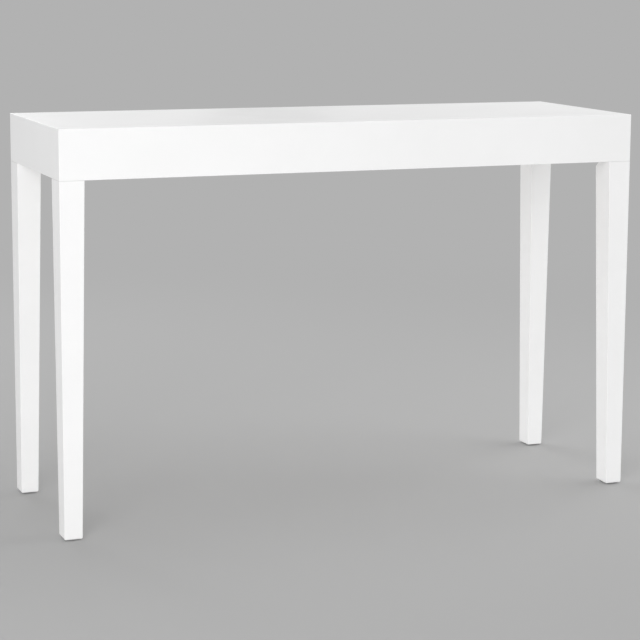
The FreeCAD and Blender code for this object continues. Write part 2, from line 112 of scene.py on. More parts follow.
def fade(tree, value, start, end, low=0.0, high=1.0):
    """A value taken from start..end to low..high, and held at both ends."""
    wires = {"Value": value, "From Min": start, "From Max": end, "To Min": low, "To Max": high}
    return add(tree, "ShaderNodeMapRange", wires).outputs[0]


def axes_of(tree, place):
    """A place taken apart into X, Y and Z."""
    return add(tree, "ShaderNodeSeparateXYZ", {0: place}).outputs


def grain(tree, place, per_metre, detail, stretch=NO_GRAIN):
    """Noise of so many grains to the metre, drawn out along an axis where stretch is small."""
    drawn_out = add(tree, "ShaderNodeMapping", {"Vector": place, "Scale": stretch}).outputs[0]
    wires = {"Vector": drawn_out, "Scale": per_metre, "Detail": detail}
    return add(tree, "ShaderNodeTexNoise", wires).outputs[0]


def cells(tree, place, per_metre, output):
    """Spots scattered so many to the metre: how far a point is from one, or a colour for each."""
    return add(tree, "ShaderNodeTexVoronoi", {"Vector": place, "Scale": per_metre}).outputs[output]


def blend(tree, share, first, second):
    """The colour between two others, each a socket or red, green and blue."""
    colours = [c if isinstance(c, bpy.types.NodeSocket) else (*c, 1.0) for c in (first, second)]
    wires = {0: share, 6: colours[0], 7: colours[1]}
    return add(tree, "ShaderNodeMix", wires, data_type="RGBA").outputs[2]


def between(tree, share, first, second):
    """The number between two others."""
    return add(tree, "ShaderNodeMix", {0: share, 2: first, 3: second}).outputs[0]


def new_finish(name):
    """A material, its tree, its shader and the place of a point on the piece."""
    finish = bpy.data.materials.new(name)
    finish.use_nodes = True
    tree = finish.node_tree
    place = add(tree, "ShaderNodeTexCoord").outputs["Object"]
    return finish, tree, tree.nodes["Principled BSDF"], place


def lay_on(tree, shader, colour, roughness, relief, depth):
    """Gives a finish its colour and roughness, and its relief at a depth in metres."""
    bump = add(tree, "ShaderNodeBump", {"Strength": 1.0, "Distance": depth, "Height": relief})
    tree.links.new(colour, shader.inputs["Base Color"])
    tree.links.new(roughness, shader.inputs["Roughness"])
    tree.links.new(bump.outputs[0], shader.inputs["Normal"])


def dress(finish, *names):
    """Puts a finish on CAD nodes."""
    for name in names:
        for material_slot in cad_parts[name].material_slots:
            material_slot.material = finish


def hidden_in_box(tree, place):
    """1 on the faces that look into the hollow of the box, and 0 outside."""
    axes = axes_of(tree, place)
    hidden = []
    for way_out, inner_face in ((reckon(tree, "ABSOLUTE", axes[0]), HALF_LENGTH - BOARD),
                                (reckon(tree, "ABSOLUTE", axes[1]), HALF_DEPTH - BOARD),
                                (axes[2], CEILING)):
        hidden.append(fade(tree, way_out, inner_face + 2.0 * SKIN, inner_face + SKIN))
    return reckon(tree, "MINIMUM", reckon(tree, "MINIMUM", hidden[0], hidden[1]), hidden[2])


def lacquered(name, hidden, wood_grain, painted_shade_at=None, painted_shade_colour=None):
    """White satin lacquer, thinning to primer and bare board where a face is hidden."""
    finish, tree, shader, place = new_finish(name)
    clouds = fade(tree, grain(tree, place, CLOUDS_PER_METRE, 3.0), 0.35, 0.65)
    lacquer = blend(tree, clouds, LACQUER_WHITE, LACQUER_SHADE)
    # painted shade: where a mask is given, the lacquer is darkened there towards a shade colour
    if painted_shade_at:
        lacquer = blend(tree, painted_shade_at(tree, place), lacquer, painted_shade_colour)
    fibres = fade(tree, grain(tree, place, FIBRES_PER_METRE, 4.0, wood_grain), 0.35, 0.70)
    thin = fade(tree, grain(tree, place, THIN_PATCHES_PER_METRE, 4.0), 0.40, 0.80, *TAN_SHARE)
    board = blend(tree, reckon(tree, "MULTIPLY", thin, fibres), PRIMER_WHITE, FIBREBOARD_TAN)

    drops = fade(tree, grain(tree, place, MIST_DROPS_PER_METRE, 1.0), 0.40, 0.60)
    height_up = axes_of(tree, place)[2]
    mist = fade(tree, height_up, APRON_BOTTOM, APRON_BOTTOM + MIST_HEIGHT, 1.0, 0.0)
    unsprayed = reckon(tree, "SUBTRACT", 1.0, reckon(tree, "MULTIPLY", mist, drops))
    bare = reckon(tree, "MULTIPLY", hidden(tree, place), unsprayed)

    satin = fade(tree, grain(tree, place, SATIN_PATCHES_PER_METRE, 4.0), 0.30, 0.70, *LACQUER_ROUGHNESS)
    dull = fade(tree, fibres, 0.0, 1.0, *PRIMER_ROUGHNESS)
    peel = grain(tree, place, SPRAY_PEEL_PER_METRE, 1.5)
    nibs = fade(tree, cells(tree, place, DUST_NIBS_PER_METRE, "Distance"), 0.0, 0.030, 1.0, 0.0)
    rubbed = grain(tree, place, SANDING_PER_METRE, 2.0, wood_grain)
    sprayed = reckon(tree, "MULTIPLY_ADD", nibs, 0.5, reckon(tree, "MULTIPLY_ADD", rubbed, 0.35, peel))
    relief = between(tree, bare, sprayed, reckon(tree, "MULTIPLY", fibres, 3.0))
    lay_on(tree, shader, blend(tree, bare, lacquer, board), between(tree, bare, satin, dull), relief,
           COAT_DEPTH)
    shader.inputs["IOR"].default_value = LACQUER_IOR
    return finish


box_lacquer = lacquered("lacquer_on_board", hidden_in_box, NO_GRAIN)
dress(box_lacquer, "top_panel", "front_apron", "rear_apron", "left_apron", "right_apron")


# Two cross rails of planed pine stand between the long aprons and keep them straight.
# Each is glued to the top board and held by two beech dowels at each end.
# Eight pine glue blocks are rubbed into the corner between the aprons and the top board.

PINE_PALE = (0.76, 0.59, 0.39)
PINE_DARK = (0.55, 0.36, 0.19)
PINE_KNOT = (0.27, 0.13, 0.06)
PINE_ROUGHNESS = (0.66, 0.50)
PINE_PORES = (0.02, 1.0, 1.0)
PLANED_DEPTH = 0.00008
KNOTS_PER_METRE = 7.0
RINGS_PER_METRE = 190.0
PORES_PER_METRE = 2600.0
RING_WANDER = 0.030
RING_SLANT = 0.35
END_BLOCKS_FROM = 0.5  # glue blocks further out than this stand at the short aprons

BEECH_PALE = (0.66, 0.44, 0.26)
BEECH_FLECK = (0.42, 0.235, 0.115)
BEECH_ROUGHNESS = (0.55, 0.68)
FLUTED_DEPTH = 0.0001
GROWTH_PER_METRE = 260.0
FLECKS_PER_METRE = 1500.0


def bare_pine(name, along):
    """Planed pine with its growth rings drawn along a piece, and small knots."""
    finish, tree, shader, place = new_finish(name)
    run = along(tree, place)
    across = axes_of(tree, run)
    wander = grain(tree, run, 5.0, 3.0, (0.4, 1.0, 1.0))
    slant = reckon(tree, "MULTIPLY_ADD", across[2], RING_SLANT, across[1])
    rings = reckon(tree, "MULTIPLY_ADD", wander, RING_WANDER, slant)
    growth = reckon(tree, "FRACT", reckon(tree, "MULTIPLY", rings, RINGS_PER_METRE))
    late_wood = reckon(tree, "POWER", growth, 2.2)
    pores = fade(tree, grain(tree, run, PORES_PER_METRE, 2.0, PINE_PORES), 0.45, 0.75)
    knots = fade(tree, cells(tree, run, KNOTS_PER_METRE, "Distance"), 0.02, 0.07, 1.0, 0.0)
    wood = blend(tree, reckon(tree, "MULTIPLY", late_wood, 0.85), PINE_PALE, PINE_DARK)
    wood = blend(tree, reckon(tree, "MULTIPLY", pores, 0.30), wood, PINE_DARK)
    wood = blend(tree, knots, wood, PINE_KNOT)
    planed = reckon(tree, "MULTIPLY_ADD", pores, -0.6, late_wood)
    lay_on(tree, shader, wood, fade(tree, late_wood, 0.0, 1.0, *PINE_ROUGHNESS), planed, PLANED_DEPTH)
    return finish


def along_depth(tree, place):
    """Turns the grain to run from front to back."""
    wires = {"Vector": place, "Rotation": (0.0, 0.0, math.pi / 2)}
    return add(tree, "ShaderNodeMapping", wires).outputs[0]


def along_each_block(tree, place):
    """Runs the grain along the aprons: across the table at the two ends, and lengthways elsewhere."""
    out_from_middle = reckon(tree, "ABSOLUTE", axes_of(tree, place)[0])
    at_end = reckon(tree, "GREATER_THAN", out_from_middle, END_BLOCKS_FROM)
    wires = {0: at_end, 4: place, 5: along_depth(tree, place)}
    return add(tree, "ShaderNodeMix", wires, data_type="VECTOR").outputs[1]


dress(bare_pine("rail_pine", along_depth), "left_rail", "right_rail")
dress(bare_pine("block_pine", along_each_block), "glue_blocks")

beech, tree, shader, place = new_finish("dowel_beech")
flecks = fade(tree, grain(tree, place, FLECKS_PER_METRE, 2.0, (1.0, 0.12, 1.0)), 0.52, 0.72)
growth = fade(tree, grain(tree, place, GROWTH_PER_METRE, 3.0, (1.0, 0.03, 1.0)), 0.35, 0.65, 0.0, 0.45)
colour = blend(tree, reckon(tree, "MAXIMUM", flecks, growth), BEECH_PALE, BEECH_FLECK)
lay_on(tree, shader, colour, fade(tree, flecks, 0.0, 1.0, *BEECH_ROUGHNESS), flecks, FLUTED_DEPTH)
dress(beech, "rail_dowels")


# Four legs of solid wood, square at the box and tapered on their two inner faces to the foot.
# They are lacquered like the box, flush with its outer faces, and a hairline shows at the joint, with a
# band of painted shade just under it.
# The post above that joint stands inside the box and only has primer on it.

LEG_GRAIN = (1.0, 1.0, 0.04)
# painted shade: the grey that darkens the top of each leg in the hairline joint
PAINTED_JOINT_SHADE = (0.69, 0.69, 0.685)
HAIRLINE = 0.0008
HAIRLINE_EDGE = 0.0003


def hidden_post(tree, place):
    """1 on the post inside the box, and 0 on the leg below it."""
    return fade(tree, axes_of(tree, place)[2], APRON_BOTTOM + SKIN, APRON_BOTTOM + 2.0 * SKIN)


def painted_joint_shade(tree, place):
    """1 in the hairline under the box, where shade is painted onto the top of the leg, and 0 on the leg
    below it.
    """
    joint_from = APRON_BOTTOM - HAIRLINE
    return fade(tree, axes_of(tree, place)[2], joint_from, joint_from + HAIRLINE_EDGE)


# the legs get a thin band of painted shade just under the joint
leg_lacquer = lacquered("lacquer_on_leg", hidden_post, LEG_GRAIN, painted_joint_shade, PAINTED_JOINT_SHADE)
dress(leg_lacquer, "front_left_leg", "front_right_leg", "rear_left_leg", "rear_right_leg")


# A folded steel bracket spans each inner corner, 2 mm thick and plated with bright zinc.
# Its two wings are screwed to the aprons, and its middle is pulled towards the leg.
# Plating leaves a fine crystal pattern, and rolling leaves lines along the strip.

ZINC_BRIGHT = (0.70, 0.71, 0.725)
ZINC_DULL = (0.52, 0.53, 0.545)
ZINC_ROUGHNESS = (0.26, 0.42)
ZINC_DEPTH = 0.00002
STAINS_PER_METRE = 45.0
BRACKET_CRYSTALS_PER_METRE = 420.0
ROLLING_PER_METRE = 3000.0
ROLLED_LINES = (0.05, 0.05, 1.0)


def zinc_plated(name, crystals_per_metre, lines):
    """Bright zinc on steel, with its crystals and the lines from rolling or turning."""
    finish, tree, shader, place = new_finish(name)
    crystals = cells(tree, place, crystals_per_metre, "Color")
    spangle = add(tree, "ShaderNodeSeparateColor", {0: crystals}).outputs[0]
    stains = fade(tree, grain(tree, place, STAINS_PER_METRE, 4.0), 0.35, 0.70)
    rolled = grain(tree, place, ROLLING_PER_METRE, 2.0, lines)
    worn = reckon(tree, "MULTIPLY_ADD", spangle, 0.35, reckon(tree, "MULTIPLY", stains, 0.65))
    rough = reckon(tree, "MULTIPLY_ADD", spangle, 0.10, fade(tree, stains, 0.0, 1.0, *ZINC_ROUGHNESS))
    relief = reckon(tree, "MULTIPLY_ADD", spangle, 0.15, rolled)
    lay_on(tree, shader, blend(tree, worn, ZINC_BRIGHT, ZINC_DULL), rough, relief, ZINC_DEPTH)
    shader.inputs["Metallic"].default_value = 1.0
    return finish


bracket_zinc = zinc_plated("bracket_zinc", BRACKET_CRYSTALS_PER_METRE, ROLLED_LINES)
dress(bracket_zinc, "front_left_bracket", "front_right_bracket", "rear_left_bracket", "rear_right_bracket")


# Sixteen pan-head wood screws hold the wings, two through each wing into the apron behind it.
# They are zinc-plated steel, with a domed head, a cross recess and a sharp rolled thread.
# Each was driven until it stopped, so every recess stands at its own angle.

CORNERS = [(x, y) for x in (-1, 1) for y in (-1, 1)]
BRACKET_SHEET = 0.002
BRACKET_WING = 0.034
SCREW_SPACING = 0.034
MILLIMETRE = 0.001
# Sizes of the fasteners are in millimetres.
SCREW = {"Head Diameter": 8.0, "Head Height": 2.6, "Crest Diameter": 4.0, "Root Diameter": 2.7,
         "Pitch": 1.6, "Length": 15.0, "Point": 4.0, "Tip": 0.1, "Recess Width": 1.1,
         "Recess Span": 4.6, "Recess Depth": 1.7}
# The dome from its crown outwards, as shares of the head's radius and height.
HEAD_DOME = ((0.30, 0.985), (0.55, 0.94), (0.75, 0.85), (0.90, 0.70), (0.98, 0.48), (1.0, 0.28))
HEAD_FOOT = 0.97  # the head draws in a little where it meets the bracket
HEAD_SIDES = 40
THREAD_SIDES = 18
THREAD_ROWS = 84
THREAD_SHARE = 0.55  # how much of the pitch a ridge takes up
RECESS_FLOOR = 0.45  # the recess narrows to this share of its width
SEAM = 0.0005  # points as close as this are one point, in millimetres
SLIVER = 0.005  # the same, where the recess was cut
SHARP_FROM = math.radians(32.0)
FASTENER_CRYSTALS_PER_METRE = 1500.0

bracket_low, bracket_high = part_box("rear_right_bracket")
bracket_middle = 0.5 * (bracket_low[2] + bracket_high[2])
screw_levels = (bracket_middle - SCREW_SPACING / 2, bracket_middle + SCREW_SPACING / 2)
screw_seats = []
for x, y in CORNERS:
    for level in screw_levels:
        on_long = (x * (bracket_low[0] + BRACKET_WING / 2), y * (bracket_high[1] - BRACKET_SHEET), level)
        on_short = (x * (bracket_high[0] - BRACKET_SHEET), y * (bracket_low[1] + BRACKET_WING / 2), level)
        screw_seats += [(on_long, (0.0, -y, 0.0)), (on_short, (-x, 0.0, 0.0))]


def sized_tree(name, sizes):
    """A geometry tree with named inputs: seats to put copies on, sizes in millimetres, finish, seed."""
    tree = bpy.data.node_groups.new(name, "GeometryNodeTree")
    face = tree.interface
    face.new_socket("Seats", in_out="INPUT", socket_type="NodeSocketGeometry")
    for size in sizes:
        face.new_socket(size, in_out="INPUT", socket_type="NodeSocketFloat")
    face.new_socket("Finish", in_out="INPUT", socket_type="NodeSocketMaterial")
    face.new_socket("Seed", in_out="INPUT", socket_type="NodeSocketInt")
    face.new_socket("Pieces", in_out="OUTPUT", socket_type="NodeSocketGeometry")
    return tree, add(tree, "NodeGroupInput").outputs


def half(tree, size):
    """Half of a size, such as the radius of a diameter."""
    return reckon(tree, "MULTIPLY", size, 0.5)


def point_place(tree):
    """The place of each point of the mesh that the next node takes."""
    return add(tree, "GeometryNodeInputPosition").outputs[0]


def pick(tree, row, values):
    """The value in a list that a row number names."""
    switch = add(tree, "GeometryNodeIndexSwitch", data_type="FLOAT")
    while len(switch.index_switch_items) < len(values):
        switch.index_switch_items.new()
    tree.links.new(row, switch.inputs[0])
    for socket, value in zip(list(switch.inputs)[1:], values):
        if isinstance(value, bpy.types.NodeSocket):
            tree.links.new(value, socket)
        else:
            socket.default_value = value
    return switch.outputs[0]


def rolled_grid(tree, sides, rows):
    """A sheet to be rolled up about Z: the mesh, the angle and the row of a point on it."""
    wires = {"Size X": 1.0, "Size Y": 1.0, "Vertices X": sides + 1, "Vertices Y": rows}
    sheet = add(tree, "GeometryNodeMeshGrid", wires).outputs["Mesh"]
    spot = axes_of(tree, point_place(tree))
    angle = reckon(tree, "MULTIPLY", reckon(tree, "ADD", spot[0], 0.5), math.tau)
    up_sheet = reckon(tree, "ADD", spot[1], 0.5)
    row = reckon(tree, "ROUND", reckon(tree, "MULTIPLY", up_sheet, rows - 1.0))
    return sheet, angle, row


def closed_round(tree, sheet, angle, radius, height):
    """The sheet set to a radius and a height at each point, with its seam and poles closed."""
    wires = {"X": reckon(tree, "MULTIPLY", radius, reckon(tree, "COSINE", angle)),
             "Y": reckon(tree, "MULTIPLY", radius, reckon(tree, "SINE", angle)), "Z": height}
    spot = add(tree, "ShaderNodeCombineXYZ", wires).outputs[0]
    shaped = add(tree, "GeometryNodeSetPosition", {"Geometry": sheet, "Position": spot}).outputs[0]
    return add(tree, "GeometryNodeMergeByDistance", {"Geometry": shaped, "Distance": SEAM}).outputs[0]


def turned(tree, sides, rings, limit=None):
    """A solid turned through rings of radius and height. limit gives a largest radius for an angle."""
    sheet, angle, row = rolled_grid(tree, sides, len(rings))
    radius = pick(tree, row, [ring[0] for ring in rings])
    if limit:
        radius = reckon(tree, "MINIMUM", radius, limit(angle))
    return closed_round(tree, sheet, angle, radius, pick(tree, row, [ring[1] for ring in rings]))


def shank_grid(tree, sides, rows):
    """A sheet for a threaded shank: the mesh, the angle, the way along it, and 0 at its two poles."""
    sheet, angle, row = rolled_grid(tree, sides, rows)
    way_along = fade(tree, row, 1.0, rows - 2.0)
    on_shank = reckon(tree, "MULTIPLY", reckon(tree, "GREATER_THAN", row, 0.5),
                      reckon(tree, "LESS_THAN", row, rows - 1.5))
    return sheet, angle, way_along, on_shank


def ridge(tree, angle, height, pitch, root, crest, share):
    """The radius of a screw thread, whose ridge takes up a share of its pitch."""
    turns = reckon(tree, "ADD", reckon(tree, "DIVIDE", height, pitch),
                   reckon(tree, "DIVIDE", angle, math.tau))
    off_middle = reckon(tree, "ABSOLUTE", reckon(tree, "SUBTRACT", reckon(tree, "FRACT", turns), 0.5))
    rise = fade(tree, off_middle, 0.0, 0.5 * share, 1.0, 0.0)
    return reckon(tree, "MULTIPLY_ADD", rise, reckon(tree, "SUBTRACT", crest, root), root)


def joined(tree, operation, *pieces):
    """Solids made one, or the second cut out of the first."""
    boolean = add(tree, "GeometryNodeMeshBoolean", operation=operation, solver="EXACT")
    ports = ["Mesh 2"] * len(pieces) if operation == "UNION" else ["Mesh 1", "Mesh 2"]
    for port, piece in zip(ports, pieces):
        tree.links.new(piece, boolean.inputs[port])
    return boolean.outputs["Mesh"]


def put_on_seats(tree, ports, piece):
    """Copies a piece to every seat, out along its axis and at a turn of its own, as one plain mesh."""
    wires = {"Name": "axis"}
    axis = add(tree, "GeometryNodeInputNamedAttribute", wires, data_type="FLOAT_VECTOR").outputs[0]
    stand = add(tree, "FunctionNodeAlignRotationToVector", {"Vector": axis}, axis="Z").outputs[0]
    turn = add(tree, "FunctionNodeRandomValue", {"Max": math.tau, "Seed": ports["Seed"]}).outputs[1]
    spin = add(tree, "FunctionNodeAxisAngleToRotation", {"Angle": turn}).outputs[0]
    wires = {"Rotation": stand, "Rotate By": spin}
    facing = add(tree, "FunctionNodeRotateRotation", wires, rotation_space="LOCAL").outputs[0]
    wires = {"Points": ports["Seats"], "Instance": piece, "Rotation": facing, "Scale": (MILLIMETRE,) * 3}
    copies = add(tree, "GeometryNodeInstanceOnPoints", wires).outputs[0]
    plain = add(tree, "GeometryNodeRealizeInstances", {"Geometry": copies}).outputs[0]
    wires = {"Geometry": plain, "Material": ports["Finish"]}
    done = add(tree, "GeometryNodeSetMaterial", wires).outputs[0]
    add(tree, "NodeGroupOutput", {"Pieces": done})


def fasteners(name, node, tree, sizes, finish, seats, seed):
    """Makes one mesh of all the pieces of a tree, on the body they are fixed to, in place of a node."""
    mesh = bpy.data.meshes.new(name)
    mesh.from_pydata([seat for seat, axis in seats], [], [])
    axes = mesh.attributes.new("axis", "FLOAT_VECTOR", "POINT")
    for item, (seat, axis) in zip(axes.data, seats):
        item.vector = axis
    piece = bpy.data.objects.new(name, mesh)
    bpy.context.scene.collection.objects.link(piece)
    modifier = piece.modifiers.new("pieces", "NODES")
    modifier.node_group = tree
    given = {**sizes, "Finish": finish, "Seed": seed}
    for port in tree.interface.items_tree:
        if port.in_out == "INPUT" and port.name in given:
            modifier[port.identifier] = given[port.name]
    evaluated = piece.evaluated_get(bpy.context.evaluated_depsgraph_get())
    piece.data = bpy.data.meshes.new_from_object(evaluated)
    piece.modifiers.clear()
    piece.data.shade_smooth()
    piece.data.set_sharp_from_angle(angle=SHARP_FROM)
    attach(piece, "root")
    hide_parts(node)


tree, ports = sized_tree("bracket_screw", SCREW)
head_radius = half(tree, ports["Head Diameter"])
head_height = ports["Head Height"]
head_rings = [(0.0, head_height)]
for share_out, share_up in HEAD_DOME:
    head_rings.append((reckon(tree, "MULTIPLY", head_radius, share_out),
                       reckon(tree, "MULTIPLY", head_height, share_up)))
head_rings += [(reckon(tree, "MULTIPLY", head_radius, HEAD_FOOT), 0.0), (0.0, 0.0)]
head = turned(tree, HEAD_SIDES, head_rings)

sheet, angle, way_along, on_shank = shank_grid(tree, THREAD_SIDES, THREAD_ROWS)
inside_head = reckon(tree, "MULTIPLY", head_height, 0.2)
reach = reckon(tree, "ADD", ports["Length"], inside_head)
height = reckon(tree, "SUBTRACT", inside_head, reckon(tree, "MULTIPLY", way_along, reach))
crest = half(tree, ports["Crest Diameter"])
thread = ridge(tree, angle, height, ports["Pitch"], half(tree, ports["Root Diameter"]), crest, THREAD_SHARE)
from_tip = reckon(tree, "ADD", height, ports["Length"])
point = reckon(tree, "MULTIPLY_ADD", reckon(tree, "DIVIDE", from_tip, ports["Point"]), crest, ports["Tip"])
radius = reckon(tree, "MULTIPLY", reckon(tree, "MINIMUM", thread, point), on_shank)
shank = closed_round(tree, sheet, angle, radius, height)

arms = []
for along, across in (("X", "Y"), ("Y", "X")):
    wires = {along: ports["Recess Span"], across: ports["Recess Width"],
             "Z": reckon(tree, "MULTIPLY", ports["Recess Depth"], 2.0)}
    size = add(tree, "ShaderNodeCombineXYZ", wires).outputs[0]
    arms.append(add(tree, "GeometryNodeMeshCube", {"Size": size}).outputs["Mesh"])
cross = joined(tree, "UNION", *arms)
spot = point_place(tree)
recess_floor = reckon(tree, "MULTIPLY", ports["Recess Depth"], -1.0)
narrow = fade(tree, axes_of(tree, spot)[2], recess_floor, 0.0, RECESS_FLOOR, 1.0)
pulled_in = add(tree, "ShaderNodeCombineXYZ", {"X": narrow, "Y": narrow, "Z": 1.0}).outputs[0]
drawn = add(tree, "ShaderNodeVectorMath", {0: spot, 1: pulled_in}, operation="MULTIPLY").outputs[0]
tapered = add(tree, "GeometryNodeSetPosition", {"Geometry": cross, "Position": drawn}).outputs[0]
at_top = add(tree, "ShaderNodeCombineXYZ", {"Z": head_height}).outputs[0]
punch = add(tree, "GeometryNodeSetPosition", {"Geometry": tapered, "Offset": at_top}).outputs[0]
recessed = joined(tree, "DIFFERENCE", joined(tree, "UNION", head, shank), punch)
wires = {"Geometry": recessed, "Distance": SLIVER}
put_on_seats(tree, ports, add(tree, "GeometryNodeMergeByDistance", wires).outputs[0])

fastener_zinc = zinc_plated("fastener_zinc", FASTENER_CRYSTALS_PER_METRE, NO_GRAIN)
fasteners("cross_recess_screws", "bracket_screws", tree, SCREW, fastener_zinc, screw_seats, 7)


# Two hanger bolts, 8 mm thick, are screwed into the flat corner of each leg's post.
# They are steel, zinc plated, with a coarse wood thread at one end and a fine one at the other.
# The fine end comes through the bracket, so that its nuts pull the leg into the corner.

CORNER_FLAT = 0.018
BOLT_SPACING = 0.030
BOLT = {"Crest Diameter": 8.0, "Fine Root": 6.8, "Coarse Root": 5.6, "Fine Pitch": 1.25,
        "Coarse Pitch": 3.0, "Embedded": 22.0, "Standing": 20.1, "Point": 6.0, "Tip": 0.2,
        "Chamfer": 1.0, "Plain Half": 2.0}
BOLT_SIDES = 24
BOLT_ROWS = 250
FINE_SHARE = 0.9
COARSE_SHARE = 0.45

leg_low, leg_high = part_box("rear_right_leg")
flat_centre = (leg_low[0] + CORNER_FLAT / 2, leg_low[1] + CORNER_FLAT / 2)
bolt_levels = (bracket_middle - BOLT_SPACING / 2, bracket_middle + BOLT_SPACING / 2)
bolt_seats = []
for x, y in CORNERS:
    for level in bolt_levels:
        inwards = (-x / math.sqrt(2.0), -y / math.sqrt(2.0), 0.0)
        bolt_seats.append(((x * flat_centre[0], y * flat_centre[1], level), inwards))

tree, ports = sized_tree("hanger_bolt", BOLT)
sheet, angle, way_along, on_shank = shank_grid(tree, BOLT_SIDES, BOLT_ROWS)
embedded, standing, plain_half = ports["Embedded"], ports["Standing"], ports["Plain Half"]
whole_length = reckon(tree, "ADD", embedded, standing)
height = reckon(tree, "SUBTRACT", reckon(tree, "MULTIPLY", way_along, whole_length), embedded)
crest = half(tree, ports["Crest Diameter"])
fine_root = half(tree, ports["Fine Root"])
coarse_root = half(tree, ports["Coarse Root"])
fine = ridge(tree, angle, height, ports["Fine Pitch"], fine_root, crest, FINE_SHARE)
coarse = ridge(tree, angle, height, ports["Coarse Pitch"], coarse_root, crest, COARSE_SHARE)
is_fine = reckon(tree, "GREATER_THAN", height, plain_half)
is_coarse = reckon(tree, "LESS_THAN", height, reckon(tree, "MULTIPLY", plain_half, -1.0))
is_plain = reckon(tree, "SUBTRACT", reckon(tree, "SUBTRACT", 1.0, is_fine), is_coarse)
radius = reckon(tree, "MULTIPLY", is_plain, fine_root)
radius = reckon(tree, "MULTIPLY_ADD", is_coarse, coarse, radius)
radius = reckon(tree, "MULTIPLY_ADD", is_fine, fine, radius)
from_point = reckon(tree, "ADD", height, embedded)
cone = reckon(tree, "MULTIPLY_ADD", reckon(tree, "DIVIDE", from_point, ports["Point"]), crest, ports["Tip"])
from_tail = reckon(tree, "SUBTRACT", standing, height)
bevel = reckon(tree, "ADD", from_tail, reckon(tree, "SUBTRACT", crest, ports["Chamfer"]))
radius = reckon(tree, "MINIMUM", radius, reckon(tree, "MINIMUM", cone, bevel))
bolt = closed_round(tree, sheet, angle, reckon(tree, "MULTIPLY", radius, on_shank), height)
put_on_seats(tree, ports, bolt)
fasteners("threaded_hanger_bolts", "hanger_bolts", tree, BOLT, fastener_zinc, bolt_seats, 11)


# A plain washer lies on the bracket round each bolt and spreads the load over its slot.
# It is stamped from 1.6 mm steel sheet and zinc plated.
# The punch leaves one edge rounded and the other square.

WASHER = {"Outside": 20.0, "Bore": 9.0, "Thickness": 1.6, "Stand": 8.0, "Rounding": 0.35}
WASHER_SIDES = 64
EDGE_SOFTNESS = 0.3  # the square edge is broken by this share of the rounding

tree, ports = sized_tree("bolt_washer", WASHER)
outer, bore = half(tree, ports["Outside"]), half(tree, ports["Bore"])
low, rounding = ports["Stand"], ports["Rounding"]
high = reckon(tree, "ADD", low, ports["Thickness"])
soft = reckon(tree, "MULTIPLY", rounding, EDGE_SOFTNESS)
outer_in = reckon(tree, "SUBTRACT", outer, soft)
high_in = reckon(tree, "SUBTRACT", high, soft)
rounding_from = reckon(tree, "SUBTRACT", high, rounding)
loop = [(bore, low),
        (outer_in, low),
        (outer, reckon(tree, "ADD", low, soft)),
        (outer, rounding_from),
        (outer_in, high_in),
        (reckon(tree, "SUBTRACT", outer, rounding), high),
        (reckon(tree, "ADD", bore, rounding), high),
        (reckon(tree, "ADD", bore, soft), high_in),
        (bore, rounding_from),
        (bore, low)]
put_on_seats(tree, ports, turned(tree, WASHER_SIDES, loop))
fasteners("stamped_washers", "bolt_washers", tree, WASHER, fastener_zinc, bolt_seats, 13)


# A hexagon nut on each bolt is tightened against the washer.
# It is zinc-plated steel, 13 mm across the flats, with its corners turned off on both faces.
# The bore has a countersink at each end, where the thread starts.

NUT = {"Across Flats": 13.0, "Height": 6.5, "Bore": 8.2, "Stand": 9.6, "Countersink": 0.5,
       "Corner Turn": 0.58}
NUT_SIDES = 72
NUT_FACE = 0.95  # the flat ring of each face ends at this share of the half width
TURNED_RINGS = 6
SIXTH = math.pi / 3.0

tree, ports = sized_tree("bolt_nut", NUT)
flat = half(tree, ports["Across Flats"])
corner = reckon(tree, "DIVIDE", flat, math.cos(SIXTH / 2.0))
face_edge = reckon(tree, "MULTIPLY", flat, NUT_FACE)
bore, sink = half(tree, ports["Bore"]), ports["Countersink"]
low = ports["Stand"]
high = reckon(tree, "ADD", low, ports["Height"])
sunk_bore = reckon(tree, "ADD", bore, sink)
thread_from = reckon(tree, "ADD", low, sink)
turned_off = []
for ring in range(TURNED_RINGS):
    way_out = ring / (TURNED_RINGS - 1.0)
    out = reckon(tree, "MULTIPLY_ADD", reckon(tree, "SUBTRACT", corner, face_edge), way_out, face_edge)
    past_face = reckon(tree, "SUBTRACT", out, face_edge)
    turned_off.append((out, reckon(tree, "MULTIPLY", past_face, ports["Corner Turn"])))
loop = [(bore, thread_from), (sunk_bore, low)]
loop += [(out, reckon(tree, "ADD", low, up)) for out, up in turned_off]
loop += [(out, reckon(tree, "SUBTRACT", high, up)) for out, up in reversed(turned_off)]
loop += [(sunk_bore, high), (bore, reckon(tree, "SUBTRACT", high, sink)), (bore, thread_from)]


def hexagon(angle):
    """How far the flats of the nut are from its axis, at an angle."""
    off_flat = reckon(tree, "SUBTRACT", reckon(tree, "MODULO", angle, SIXTH), SIXTH / 2.0)
    return reckon(tree, "DIVIDE", flat, reckon(tree, "COSINE", off_flat))


put_on_seats(tree, ports, turned(tree, NUT_SIDES, loop, hexagon))
fasteners("hexagon_nuts", "bolt_nuts", tree, NUT, fastener_zinc, bolt_seats, 17)


# A nylon glide under each foot keeps the lacquer off the floor.
# It is a moulded button, 22 mm across, off-white, with a faint grain from the mould.
# Its lower face is scuffed where it slides on the floor.

NYLON_PALE = (0.80, 0.79, 0.755)
NYLON_SCUFFED = (0.66, 0.65, 0.61)
NYLON_ROUGHNESS = (0.38, 0.62)
NYLON_IOR = 1.53
SCUFF_DEPTH = 0.00005
SCUFFS_PER_METRE = 800.0
SCUFF_LINES = (1.0, 0.2, 1.0)
FLOOR_FACE = (0.0009, 0.0002)  # heights between which the scuffs come in

